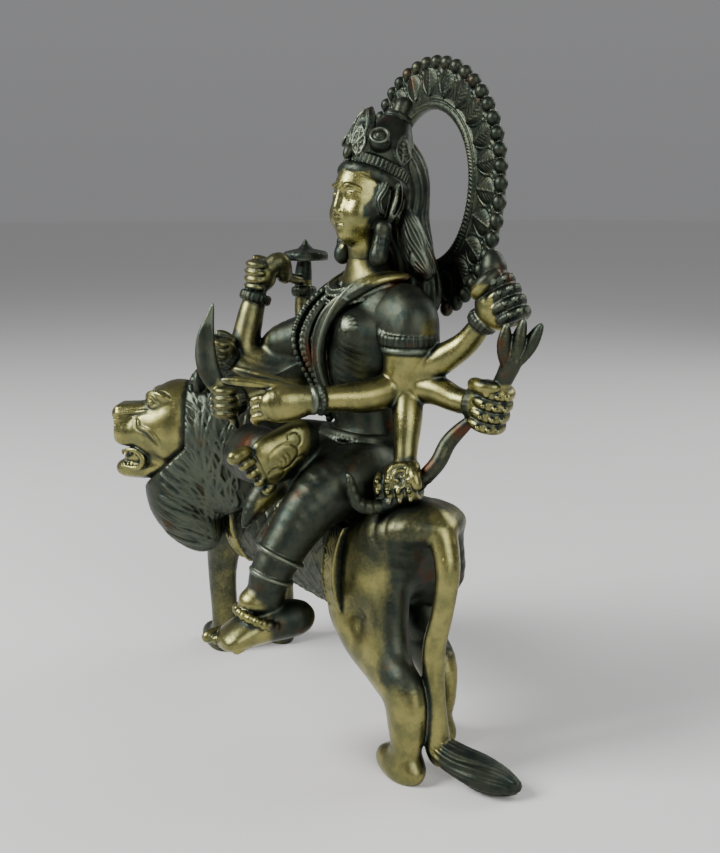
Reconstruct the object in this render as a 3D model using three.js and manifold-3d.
// An eight-armed goddess seated side-saddle on a walking lion, with a leafed ring behind her head.
// One brass casting. Millimetres, +Z up. The goddess faces -Y, the lion walks towards -X.
import * as THREE from "three";
import { mergeVertices } from "three/addons/utils/BufferGeometryUtils.js";
import Module from "manifold-3d";

const wasm = await Module();
wasm.setup();

// The figure's height sets its pose, its proportions and its carving: the points below are drawn
// for a figure 218 mm tall, and `share` turns them into the size that is asked for.
const figureHeight = 218;
const drawnHeight = 218;
const share = figureHeight / drawnHeight;

// Sizes that stand by themselves, in millimetres
const ringOuterWidth = 36.5;
const ringOuterHeight = 38.5;
const ringBand = 16.5;
const ringThickness = 3.2;
const ringLeaves = 21;
const leafWidth = 8.6;
const leafRelief = 1.3;
const braceletRelief = 0.9;
const blanketThickness = 1.3;

const up = new THREE.Vector3(0, 0, 1);
const at = (x, y, z) => new THREE.Vector3(x, y, z).multiplyScalar(share);

// A closed geometry with shared corners only, its faces turned outwards
function closed(geometry) {
  const bare = geometry.index ? geometry.toNonIndexed() : geometry.clone();
  bare.deleteAttribute("normal");
  bare.deleteAttribute("uv");
  const merged = mergeVertices(bare, 1e-5);
  const p = merged.attributes.position;
  const order = merged.index.array;
  const corner = [new THREE.Vector3(), new THREE.Vector3(), new THREE.Vector3()];
  let volume = 0;
  for (let i = 0; i < order.length; i += 3) {
    corner.forEach((c, k) => c.fromBufferAttribute(p, order[i + k]));
    volume += corner[0].dot(corner[1].clone().cross(corner[2]));
  }
  for (let i = 0; volume < 0 && i < order.length; i += 3) {
    [order[i], order[i + 1]] = [order[i + 1], order[i]];
  }
  return merged;
}

function solid(geometry) {
  const merged = closed(geometry);
  return new wasm.Manifold(
    new wasm.Mesh({
      numProp: 3,
      vertProperties: new Float32Array(merged.attributes.position.array),
      triVerts: new Uint32Array(merged.index.array),
    }),
  );
}

const parts = [];
const add = (geometry) => parts.push(solid(geometry));

// The axis that the line keeps furthest away from, so that its cross-sections don't twist
function squarest(line) {
  const axes = [[1, 0, 0], [0, 1, 0], [0, 0, 1]];
  const lean = (axis) => {
    const along = [0, 0.25, 0.5, 0.75, 1].map((t) => Math.abs(line.getTangent(t).dot(new THREE.Vector3(...axis))));
    return Math.max(...along);
  };
  return axes.sort((a, b) => lean(a) - lean(b))[0];
}

// A closed round-ended body along a smooth line through the stations [x, y, z, wide, deep].
// `wide` lies across the line and level with `across`, `deep` stands on both, and `carve` gives
// the share by which a ring and a turn stand out.
function limb(stations, { sides = 6, rings = 6, across, blunt = 5, carve = () => 1 } = {}) {
  const line = new THREE.CatmullRomCurve3(stations.map(([x, y, z]) => at(x, y, z)), false, "centripetal");
  const girth = new THREE.CatmullRomCurve3(
    stations.map((s) => at(s[3], s[4] ?? s[3], 0)),
    false,
    "catmullrom",
    0.4,
  );
  const ball = new THREE.SphereGeometry(1, sides, rings);
  const place = ball.attributes.position;
  const reference = new THREE.Vector3(...(across ?? squarest(line))).normalize();
  for (let i = 0; i < place.count; i += 1) {
    const along = THREE.MathUtils.clamp(place.getY(i), -1, 1);
    const ring = Math.round((Math.acos(-along) / Math.PI) * rings);
    const turn = Math.atan2(place.getZ(i), place.getX(i));
    const step = (along + 1) / 2;
    const centre = line.getPoint(step);
    const tangent = line.getTangent(step);
    const size = girth.getPoint(step);
    const pole = ring === 0 || ring === rings;
    const swell = pole ? 0 : Math.pow(1 - Math.pow(Math.abs(along), blunt), 1 / 2.5) * carve(ring, turn);
    const wide = new THREE.Vector3().crossVectors(tangent, reference).normalize();
    const deep = new THREE.Vector3().crossVectors(wide, tangent).normalize();
    centre.addScaledVector(wide, Math.cos(turn) * size.x * swell);
    centre.addScaledVector(deep, Math.sin(turn) * size.y * swell);
    place.setXYZ(i, centre.x, centre.y, centre.z);
  }
  return ball;
}

// Three directions at right angles: the first is kept, the second is turned square to it
function frameOf(forward, upward) {
  const first = new THREE.Vector3(...forward).normalize();
  const third = new THREE.Vector3(...upward);
  third.addScaledVector(first, -third.dot(first)).normalize();
  const second = new THREE.Vector3().crossVectors(third, first);
  return new THREE.Matrix4().makeBasis(first, second, third);
}

function placed(geometry, centre, forward, upward = [0, 0, 1]) {
  geometry.applyMatrix4(frameOf(forward, upward));
  const c = at(...centre);
  return geometry.translate(c.x, c.y, c.z);
}

// An egg shape: centre, half sizes ahead, aside and upright
function egg(centre, half, { sides = 6, rings = 4, ahead = [1, 0, 0], top = [0, 0, 1] } = {}) {
  const ball = new THREE.SphereGeometry(1, sides, rings);
  ball.rotateX(Math.PI / 2);
  ball.scale(half[0] * share, half[1] * share, half[2] * share);
  return placed(ball, centre, ahead, top);
}

// A plain band turned about `axis`
function band(centre, axis, radius, width, { sides = 8, relief = braceletRelief } = {}) {
  const reach = radius * share + relief;
  const disc = new THREE.CylinderGeometry(reach, reach, width * share, sides);
  disc.rotateZ(-Math.PI / 2);
  return placed(disc, centre, axis, Math.abs(axis[2]) > 0.8 ? [0, -1, 0] : [0, 0, 1]);
}

// Everything below the table is cut away, so that feet and tuft stand flat
const tableCut = new THREE.BoxGeometry(400 * share, 300 * share, 40 * share);
tableCut.translate(0, 0, -20 * share);
const table = solid(tableCut);
const standing = (geometry) => parts.push(solid(geometry).subtract(table));

// Lion: trunk, legs and paws, tail
const leftRow = -20;
const rightRow = 3;
const spineRow = (leftRow + rightRow) / 2;

function lionTrunk() {
  add(limb([
    [46, spineRow, 77, 7, 5],
    [36, spineRow, 76, 15, 8],
    [18, spineRow, 65, 17.5, 17.4],
    [-4, spineRow, 60, 16.5, 19],
    [-28, spineRow, 59, 16, 18.5],
    [-50, spineRow, 58, 17, 22],
    [-68, spineRow, 60, 16.5, 22],
    [-84, spineRow - 2, 62, 9, 14],
  ], { sides: 10, rings: 8, across: [0, 0, 1] }));
}

function lionLegs() {
  const fore = (x, y) => {
    standing(limb([[x + 10, y, 70, 6, 12], [x + 4, y, 52, 6.5, 10.5], [x, y, 32, 5.2, 6.4], [x + 1, y, 15, 4.9, 5.4],
      [x, y, -7, 5, 5.6]], { sides: 6, rings: 6, across: [1, 0, 0] }));
    standing(egg([x - 4, y, 3.4], [10.6, 5.8, 5.6], { sides: 7, rings: 4 }));
  };
  const hind = (x, y, outward, thigh, knee) => {
    standing(limb([[thigh + 7, y + 4 * outward, 78, 7, 10], [thigh, y + outward, 62, 8.4, 14.4],
      [knee, y, 47, 7, 7.4], [knee + 6, y, 38, 6, 6.4], [x - 14, y, 33, 6, 8], [x - 4, y, 27, 5.6, 8.4],
      [x - 2, y, 17, 5.2, 7.6], [x - 2, y, -7, 5, 7]], { sides: 6, rings: 8, across: [1, 0, 0] }));
    standing(egg([x - 5, y, 3.4], [10.6, 5.8, 5.6], { sides: 7, rings: 4 }));
  };
  fore(-78, leftRow - 1);
  fore(-72, rightRow - 2);
  hind(44, leftRow, 1, 18, 11.4);
  hind(30, rightRow, -1, 26, 13);
}

function lionTail() {
  add(limb([[34, spineRow, 81, 6], [42, -8.8, 77, 5.4], [48.4, -9.6, 66, 4.2], [48.8, -11, 53, 4],
    [46.8, -12.4, 39.7, 3.9], [47, -13.4, 26, 3.9], [48.6, -12.4, 6, 4.8]], { sides: 6, rings: 7 }));
  standing(limb([[46, -13, 11, 4.6, 4.2], [54, -10, 8.4, 5.2, 4.6], [62, -5.6, 5.8, 6, 5], [69.7, 1, 3, 3.2, 3]],
    { sides: 8, rings: 5, across: [0, 0, 1], carve: (ring, turn) => 1 + 0.08 * Math.cos(4 * turn) }));
}

// Saddle blanket: it hugs the flanks, with a raised border strip down its front and rear edges
function blanket() {
  const girths = [
    [-63, 1.9, 2.4], [-56, 1.9, 2.4], [-55.5, 1, 1], [10, 1, 1], [10.5, 2.3, 2.4], [17, 2.3, 2.4],
  ];
  const outline = [[-64, 0]];
  girths.forEach(([x, lift]) => outline.push([x, 16.8 + blanketThickness * lift]));
  outline.push([18, 0]);
  const turned = new THREE.LatheGeometry(outline.map(([x, r]) => new THREE.Vector2(r * share, x * share)), 12);
  turned.scale(1, 1, 1.12);
  placed(turned.rotateZ(-Math.PI / 2), [0, spineRow, 59], [1, 0, 0]);
  const keep = new THREE.BoxGeometry(100 * share, 60 * share, 40 * share);
  keep.translate(-23 * share, spineRow * share, 61 * share);
  parts.push(solid(turned).intersect(solid(keep)));
}

// Lion's head, turned towards -Y: `muzzle` is the way it points and `cheek` its left side
const headFrom = [-65.5, -31, 84];
const muzzleTurn = THREE.MathUtils.degToRad(53);
const muzzle = [-Math.cos(muzzleTurn), -Math.sin(muzzleTurn), 0];
const cheek = [Math.sin(muzzleTurn), -Math.cos(muzzleTurn), 0];
const onHead = (forward, left, rise) => [
  headFrom[0] + muzzle[0] * forward + cheek[0] * left,
  headFrom[1] + muzzle[1] * forward + cheek[1] * left,
  headFrom[2] + rise,
];

function lionHead() {
  const aim = { ahead: muzzle };
  add(egg(onHead(10, 0, 11), [13.4, 12, 15], { ...aim, sides: 8, rings: 5 }));
  add(limb([[...onHead(8, 0, 12), 8, 8], [...onHead(24, 0, 9.6), 7.4, 7.6], [...onHead(35.4, 0, 8.6), 7, 7.4]],
    { rings: 5, blunt: 8, across: [0, 0, 1] }));
  add(limb([[...onHead(8, 0, -3), 8, 7], [...onHead(22, 0, -5.6), 6.8, 5], [...onHead(33.4, 0, -6.2), 5.6, 4]],
    { rings: 5, blunt: 8, across: [0, 0, 1] }));
  for (const side of [-1, 1]) {
    add(egg(onHead(28.4, side * 3.4, 4.4), [6.4, 4.6, 5.4], aim));
    add(egg(onHead(17, side * 6, 19.6), [5.2, 3.8, 3], { ...aim, sides: 5 }));
    add(egg(onHead(11, side * 8.6, 5), [9, 4, 8.6], { ...aim, sides: 5 }));
    add(egg(onHead(1.5, side * 10.5, 26), [2.6, 3.8, 5], { ...aim, sides: 5 }));
  }
}

// The mane: a heavy mass around the face, down to the chest, ploughed into locks
function mane() {
  const locks = (count, depth, slant) => (ring, turn) => 1 + depth * Math.cos(count * turn + slant * ring);
  add(limb([[-46, -13, 76, 12, 14], [-56, -20, 83, 17, 24], [-64, -29.4, 86.4, 17.5, 27.4], [-69, -35.6, 87, 15.6, 24],
    [-71.4, -38.6, 86, 12, 18]], { sides: 16, rings: 6, across: [0, 0, 1], carve: locks(8, 0.055, 1.4) }));
  add(limb([[-66, -32, 86, 15, 17], [-71, -38.6, 68, 14.5, 15], [-67, -33, 49, 8, 8]],
    { sides: 14, rings: 5, across: [0, 1, 0], carve: locks(7, 0.07, 0.8) }));
}

// Goddess: body, head and hair
function torso() {
  add(limb([[3, -5, 72, 16, 13], [2, -5, 88, 17, 14], [1, -6, 102, 12.5, 10.5], [0, -7, 112, 12, 10.5],
    [0, -8, 126, 16, 12.5], [0, -5.5, 138, 19.5, 10], [0, -5.5, 146, 12, 7.5], [0, -6, 153, 6, 6]],
  { sides: 10, rings: 9, across: [0, 1, 0], blunt: 8 }));
  add(limb([[0, -5, 142, 7, 7], [0, -6.5, 154, 5.4, 5.6], [0, -6, 168, 5.4, 6]], { sides: 6, rings: 3, across: [0, 1, 0] }));
  for (const side of [-1, 1]) add(egg([side * 7.6, -15.4, 132], [7, 7, 7.8], { rings: 5 }));
}

function headAndHair() {
  add(egg([0, -5, 172.6], [9.8, 12.2, 14.6], { sides: 10, rings: 7 }));
  add(egg([0, -12.4, 162], [4, 4.4, 4], { sides: 6, rings: 4 }));
  add(limb([[0, -15, 180, 1.4], [0, -17.2, 173.6, 1.8], [0, -17.4, 169.6, 2.2]], { sides: 5, rings: 4, across: [0, 1, 0] }));
  add(egg([0, -16, 165.2], [2.8, 1.7, 1.4], { sides: 6, rings: 4 }));
  for (const side of [-1, 1]) {
    add(limb([[side * 9, -2, 180, 1.6, 2.4], [side * 10.2, -1.5, 171, 1.6, 2.8], [side * 9.8, -3, 161, 1.6, 2]],
      { sides: 4, rings: 4, across: [1, 0, 0] }));
    add(limb([[side * 9.6, -3, 167, 1.6], [side * 10.2, -6, 157, 2.8], [side * 10, -7, 151, 2.8]],
      { sides: 5, rings: 3, across: [1, 0, 0], blunt: 8 }));
    add(limb([[side * 8, -8, 181, 1.8], [side * 9.4, -8.5, 173, 1.9], [side * 8.4, -9, 166, 1.2]],
      { sides: 4, rings: 4, across: [1, 0, 0] }));
  }
  const strands = (ring, turn) => 1 + (0.03 + 0.007 * ring) * Math.cos(7 * turn);
  add(limb([[0, 2, 194, 7, 7], [0, 6, 180, 9.6, 9.6], [0, 7.4, 166, 9.2, 8.6], [0, 9, 155, 11.6, 7.6],
    [0, 10.4, 142, 15.5, 8], [0, 6, 126, 9, 4]], { sides: 14, rings: 6, across: [0, 1, 0], carve: strands }));
}

// Crown: a rolled band, a front leaf plate, side bosses, and a collared cone with a round knob
function crown() {
  const foot = new THREE.Vector3(0, -4.4, 175.4);
  const axis = new THREE.Vector3(0, 13.4, 28);
  const length = axis.length();
  const profile = [[0, 0], [11.4, 0], [12.5, 0.05], [12.1, 0.11], [11, 0.15], [10.8, 0.23], [10.2, 0.34], [8.8, 0.48],
    [6.8, 0.62], [5, 0.75], [4.9, 0.79], [2.7, 0.82], [3, 0.9], [2.4, 0.96], [0, 1]];
  const points = profile.map(([r, h]) => new THREE.Vector2(r * share, h * length * share));
  const turned = new THREE.LatheGeometry(points, 9);
  turned.rotateZ(-Math.PI / 2);
  turned.scale(1, 0.92, 1);
  add(placed(turned, foot.toArray(), axis.toArray(), [0, -1, 0]));
  add(limb([[0, -9.8, 185, 5.6, 3.4], [0, -8.2, 190.4, 5.8, 3.4], [0, -6.4, 195.4, 4.2, 2.8], [0, -4.2, 200, 1, 1]],
    { sides: 6, rings: 5, across: [0, 1, 0.3] }));
  for (const side of [-1, 1]) add(band([side * 6, -5.6, 187.4], [side * 0.7, -0.65, 0.3], 2.5, 4.6));
  add(egg([0, -12, 187.6], [2.6, 2, 3]));
}

// Ring behind the head: a flat band with a scalloped rim and a leaf on each scallop. Its lower
// half is drawn out, so that both ends come down behind the shoulders.
// The foot of each end stays where the hair carries it.
const ringFoot = at(-1, 20, 143.8);
const ringGap = THREE.MathUtils.degToRad(11);
const ringDraw = 1.17;
const ringRise = ringDraw * (ringOuterHeight - ringBand / 2) * Math.cos(ringGap);

function onRing(angle, inset, relief = 0) {
  const rise = Math.sin(angle);
  const drawn = rise < 0 ? ringDraw : 1;
  return new THREE.Vector2(
    Math.cos(angle) * (ringOuterWidth - inset + relief),
    rise * drawn * (ringOuterHeight - inset + relief),
  );
}

function aureole() {
  const from = -Math.PI / 2 + ringGap;
  const sweep = 2 * Math.PI - 2 * ringGap;
  const points = [];
  const rim = ringLeaves * 2;
  for (let k = 0; k <= rim; k += 1) {
    points.push(onRing(from + (sweep * k) / rim, 0, k % 2 ? 0.7 : -1));
  }
  for (let k = ringLeaves; k >= 0; k -= 1) points.push(onRing(from + (sweep * k) / ringLeaves, ringBand));
  const plate = new THREE.ExtrudeGeometry(new THREE.Shape(points), { depth: ringThickness, bevelEnabled: false });
  plate.rotateX(Math.PI / 2);
  const c = ringFoot.clone().add(new THREE.Vector3(0, 0, ringRise));
  add(plate.translate(c.x, c.y + ringThickness / 2, c.z));
  for (let k = 0; k < ringLeaves; k += 1) {
    const angle = from + (sweep * (k + 0.5)) / ringLeaves;
    const middle = onRing(angle, ringBand * 0.45);
    const tip = onRing(angle, ringBand * 0.1);
    const leaf = new THREE.ConeGeometry(1, 2 * leafRelief, 4);
    leaf.scale(ringBand * 0.38, 1, leafWidth / 2);
    const spread = tip.clone().sub(middle).normalize();
    leaf.applyMatrix4(frameOf([spread.x, 0, spread.y], [spread.y, 0, -spread.x]));
    add(leaf.translate(c.x + middle.x, c.y - ringThickness / 2 - leafRelief * 0.7, c.z + middle.y));
  }
}

// Arms: sleeves and upper arms, then four forearms on each side
const leftElbow = [18, -4, 117];
const rightElbow = [-23, -9, 118];

function sleeves() {
  add(limb([[14, -3, 144, 6, 6], [20.5, -3.5, 137, 8, 8], [21, -4, 129, 8, 8.4], [19, -4.5, 120, 6.6, 7.4],
    [18, -5, 112, 5.6, 6]], { rings: 7, across: [0, 1, 0] }));
  add(limb([[-14, -4, 144, 6, 6], [-21, -5, 137, 8, 8], [-22.5, -6.5, 129, 7.6, 8.4], [-23, -8, 120, 6.6, 7.4],
    [-23, -9, 112, 5.6, 6]], { rings: 7, across: [0, 1, 0] }));
  add(band([20.4, -4.4, 129.6], [0, 0, 1], 8, 3.8));
  add(band([-22.8, -7.4, 129.6], [0, 0, 1], 7.8, 3.8));
}

// A forearm from inside the elbow to inside the hand, with a bracelet standing out at the wrist
function forearm(stations) {
  const bracelet = (ring) => (ring === 5 ? 1 + braceletRelief / 3.6 : 1);
  add(limb(stations, { sides: 6, rings: 7, carve: bracelet }));
}

// A closed fist around a grip that runs along `grip`: knuckles and four fingers in one form
function fist(centre, forward, grip, size = 1) {
  const fingers = 4;
  const rings = 2 * fingers;
  const ball = new THREE.SphereGeometry(1, 5, rings);
  const place = ball.attributes.position;
  for (let i = 0; i < place.count; i += 1) {
    const ring = Math.round((Math.acos(THREE.MathUtils.clamp(place.getY(i), -1, 1)) / Math.PI) * rings);
    const front = 0.5 + 0.5 * Math.sign(place.getX(i) + 0.2);
    const groove = ring > 0 && ring < rings ? 1 + front * (ring % 2 ? 0.1 : -0.1) : 1;
    const height = THREE.MathUtils.clamp(place.getY(i), -1, 1);
    const fuller = Math.pow(Math.max(0, 1 - Math.pow(Math.abs(Math.asin(height) / (Math.PI / 2)), 4)), 0.4);
    const round = Math.hypot(place.getX(i), place.getZ(i)) || 1;
    place.setXYZ(
      i,
      (place.getX(i) / round) * fuller * groove * 5.8 * size * share,
      (Math.asin(height) / (Math.PI / 2)) * 5.4 * size * share,
      (place.getZ(i) / round) * fuller * groove * 4.9 * size * share,
    );
  }
  ball.rotateX(Math.PI / 2);
  add(placed(ball, centre, forward, grip));
}

function leftArms() {
  const [ex, ey, ez] = leftElbow;
  forearm([[ex, ey + 1, ez, 5.6], [16.5, -16, 113.5, 5.2], [14.4, -28, 113.6, 4], [12, -38, 113.4, 3.6]]);
  add(limb([[13, -33, 113.6, 3.4, 4], [10, -41, 112.8, 4.6, 5.8], [6, -49, 111.4, 3.6, 5.4]],
    { rings: 7, across: [0, 0, 1], carve: (ring) => (ring === 4 ? 1.06 : ring === 5 ? 0.94 : 1) }));
  add(limb([[10.5, -38, 116, 2.2], [4, -48, 118.6, 1.7], [-3, -56.4, 119.4, 1.4]], { sides: 5, rings: 4 }));
  add(limb([[10, -36, 116, 2.2], [2, -44, 119.6, 1.7], [-6, -50.6, 122, 1.4]], { sides: 5, rings: 4 }));

  forearm([[ex, ey, ez, 5.4], [30, 1, 125, 4.6], [36.5, 5, 130.5, 3.8], [44, 7, 140, 3.6]]);
  fist([47, 8.2, 142.2], [0.7, 0.5, 0.5], [-0.25, 0, 1], 1.5);
  add(limb([[46.4, 8, 142, 4], [44.6, 8, 150, 4], [43.6, 8, 155.8, 3.4]], { rings: 5, blunt: 8 }));

  forearm([[ex, ey, ez - 1, 5.4], [29, 0, 115.4, 4.6], [36, 2, 113.4, 3.9], [45, 4, 113, 3.8]]);
  fist([46.4, 4.8, 113.2], [1, 0.25, -0.3], [0.4, 0.1, 1], 1.5);
  add(limb([[48, 4.6, 114, 2.6], [53.6, 5, 122, 2.4], [57, 5.4, 129, 3.4, 2.2]], { sides: 6, rings: 4 }));
  for (let k = -1; k <= 1; k += 1) {
    add(limb([[54.8, 5, 124, 2, 1.6], [57.8 + 1.9 * k, 5.4 + 2.8 * k, 131.6, 2.4, 1.8],
      [60 + 2.8 * k, 6 + 4 * k, 139.4 - 1.4 * k * k, 1, 1]], { sides: 4, rings: 4 }));
  }

  forearm([[ex + 1, ey, ez - 1, 5.4], [23.5, -7, 107, 4.6], [26, -9.4, 98, 3.7], [29, -12, 89, 3.6]]);
  fist([28.6, -13.6, 88.6], [0.5, -0.5, -0.8], [0.5, 0.7, 0.4], 1.4);
  add(limb([[26.4, -30.5, 93, 2], [27.2, -27.4, 83.8, 2], [29.2, -20.4, 82.4, 2.1], [32, -12, 87, 2.2],
    [37, -6, 95, 2.2], [37.8, -2.2, 101.4, 2.1], [44, 3, 110, 1.8]], { sides: 4, rings: 8 }));
}

function rightArms() {
  const [ex, ey, ez] = rightElbow;
  forearm([[ex, ey, ez, 5], [-36, -4, 124, 4.6], [-44, -2.4, 132, 3.8], [-46, -2, 145, 3.2]]);
  add(limb([[-46, -2, 138, 3.2, 2.8], [-45.8, -2.2, 146, 3.8, 3], [-44.6, -2, 155, 2.6, 2.2]],
    { sides: 5, rings: 4, across: [0, 1, 0] }));
  const disc = [[0, -1.6], [5, -1.6], [7.8, -0.4], [7.4, 1.2], [3, 2.2], [1.2, 4], [0, 6]];
  const wheel = new THREE.LatheGeometry(disc.map(([r, h]) => new THREE.Vector2(r * share, h * share)), 10);
  wheel.rotateX(Math.PI / 2);
  const hub = at(-44.4, -2, 153.4);
  add(wheel.translate(hub.x, hub.y, hub.z));

  forearm([[ex, ey, ez - 1, 5], [-36, -20, 117.6, 5], [-42.6, -27, 121, 5], [-43.6, -25, 132, 4.6],
    [-43.2, -21, 145, 4.2]]);
  fist([-43, -20.6, 147], [-0.6, -0.8, 0.1], [0, -0.1, 1], 1.1);
  add(limb([[-20, -6, 131, 8.2], [-30, -10.6, 125, 8.2], [-40, -20, 120, 5.6]], { rings: 4 }));
  add(limb([[-43, -20, 147, 3.4], [-41, -14.6, 151.4, 3.6], [-41.4, -12, 145.6, 3]], { sides: 5, rings: 4 }));
  add(limb([[-41.4, -14, 147.6, 2], [-43, -7, 145.4, 1.7], [-45.6, -1.6, 145, 1.8]], { sides: 4, rings: 4 }));

  forearm([[ex, ey, ez - 2, 5], [-33, -20, 113.4, 4.4], [-40, -29.6, 116.6, 3.6], [-42, -36, 121, 3.2]]);
  fist([-41.2, -36.8, 122.6], [-0.5, -0.8, 0.2], [0.1, -0.3, 1], 1);

  forearm([[ex, ey, ez - 2, 5], [-25, -22, 112, 4.4], [-26.4, -32, 109.4, 3.6], [-27, -41, 108, 3.2]]);
  fist([-27.4, -41.6, 107.6], [-0.3, -1, 0], [-0.1, -0.2, 1], 1.1);
  add(limb([[-25.8, -39.6, 99, 1.8, 2], [-27.6, -43, 109, 2, 2.8], [-32, -46.4, 118, 1.8, 3.8],
    [-34.4, -46.2, 127, 1.6, 3.4], [-32.4, -44, 139.8, 1, 1.2]], { sides: 4, rings: 7, across: [0.57, 0.82, 0] }));
}

// Legs: the right one folded with its sole turned out, the left one hanging in ridged folds
function toes(from, aside, forward, width) {
  for (let k = 0; k < 5; k += 1) {
    const across = (k - 2) * width;
    const reach = k === 0 ? 5.6 : 5 - 0.55 * k;
    const root = from.map((value, i) => value + aside[i] * across);
    const tip = root.map((value, i) => value + forward[i] * reach);
    const thick = k === 0 ? 2.2 : 1.7;
    add(limb([[...root, 1.8], [...tip, thick]], { sides: 4, rings: 3, across: [1, 0.1, 0.1] }));
  }
}

function legs() {
  add(limb([[-4, -4, 88, 12, 12], [-14, -22, 91, 10.5, 11], [-18, -36, 92, 9.6, 10.4], [-17, -46, 92, 5, 6]],
    { sides: 7, rings: 5, across: [0, 0, 1] }));
  add(limb([[-20, -36, 92, 9, 9], [-8, -41, 94, 8, 8.6], [4, -41, 96, 6, 7]], { rings: 5 }));
  const folds = (ring) => (ring > 4 && ring < 12 && ring % 2 ? 1.09 : 0.98);
  add(limb([[8, -2, 88, 12.5, 12.5], [11.6, -18, 87, 11.6, 11], [12.6, -33, 82, 9.2, 8.6], [12, -43, 71, 7.4, 7.4],
    [11, -49, 60, 6.8, 7], [11, -50, 50, 6.8, 7]], { sides: 7, rings: 13, across: [1, 0, 0], carve: folds }));
  add(limb([[3, -31, 102, 4, 6], [3.2, -42, 97.6, 4, 7.6], [2.6, -53, 93, 3, 7.6]],
    { sides: 8, rings: 5, across: [0, 0, 1] }));
  toes([2.6, -51, 93.4], [0, 0.4, -0.92], [0, -1, -0.4], 3);
  add(limb([[14, -39, 47, 6, 6], [11, -52, 46, 6.6, 5.6], [7.4, -62, 42.4, 7.6, 3.6]],
    { sides: 8, rings: 5, across: [0, 0, 1] }));
  toes([7.6, -60, 42.4], [-0.92, 0.36, 0], [-0.3, -1, -0.1], 3);
  add(band([10.6, -52, 50], [-0.1, -0.7, 0.7], 6.4, 3.6, { relief: 1.3 }));
}

// Dress: the collar, the sash across the chest, two bead garlands, the belt and the lap cloth
function dress() {
  add(limb([[-12, -5, 148, 2.6], [-7, -14, 144.4, 2.6], [0, -16.6, 142.8, 2.8], [7, -14, 144.4, 2.6], [12, -5, 148, 2.6]],
    { sides: 4, rings: 6 }));
  add(limb([[14, 1, 147, 2.6, 3.6], [10, -11, 145, 2.4, 3.4], [2, -20.4, 136, 2.2, 3.4], [-3, -24, 125, 2.2, 3.2],
    [-4, -20, 112, 2, 2.8], [-2, -16, 103, 1.6, 2]], { sides: 4, rings: 8 }));
  const beads = (ring) => (ring % 2 ? 1.12 : 0.9);
  for (const side of [-1, 1]) {
    add(limb([[side * 3.4 - 8, -11, 146, 1.8], [side * 3.4 - 10, -20.6, 137, 2], [side * 3 - 10.6, -25, 126, 2],
      [side * 2 - 8, -20, 113, 2], [-6, -16, 103, 1.6]], { sides: 4, rings: 9, carve: beads }));
  }
  add(limb([[16, -2, 97, 2, 2.4], [11, -15.6, 98.6, 2, 2.4], [0, -18.6, 99, 2, 2.4], [-11, -15.6, 98.6, 2, 2.4],
    [-15, -2, 97, 2, 2.4]], { sides: 4, rings: 6 }));
  add(limb([[-8, -10, 90, 12, 9], [0, -24, 90, 11, 8.6], [-4, -36, 88, 9, 8]], { rings: 4, across: [0, 0, 1] }));
  add(limb([[-2, -30, 90, 6], [-3, -43, 82, 4.4], [-3, -50, 73, 1.8]], { sides: 5, rings: 4 }));
}

lionTrunk();
lionLegs();
lionTail();
blanket();
lionHead();
mane();
torso();
headAndHair();
crown();
aureole();
sleeves();
leftArms();
rightArms();
legs();
dress();

function joined(list) {
  if (list.length === 1) return list[0];
  const half = list.length >> 1;
  return joined(list.slice(0, half)).add(joined(list.slice(half)));
}

// The casting is solid, so a hollow that is sealed between overlapping forms is filled
const shells = joined(parts).decompose().filter((shell) => shell.volume() > 0);
const mesh = joined(shells).getMesh();
const geometry = new THREE.BufferGeometry();
geometry.setAttribute("position", new THREE.BufferAttribute(new Float32Array(mesh.vertProperties), 3));
geometry.setIndex(new THREE.BufferAttribute(new Uint32Array(mesh.triVerts), 1));
geometry.computeBoundingBox();
const box = geometry.boundingBox;
geometry.translate(-(box.min.x + box.max.x) / 2, -(box.min.y + box.max.y) / 2, -box.min.z);

const brass = new THREE.MeshStandardMaterial({ color: 0x6b5b2c, roughness: 0.42, metalness: 1 });
const figure = new THREE.Mesh(geometry, brass);
figure.name = "durga_on_lion";

const group = new THREE.Group();
group.add(figure);
export default group;
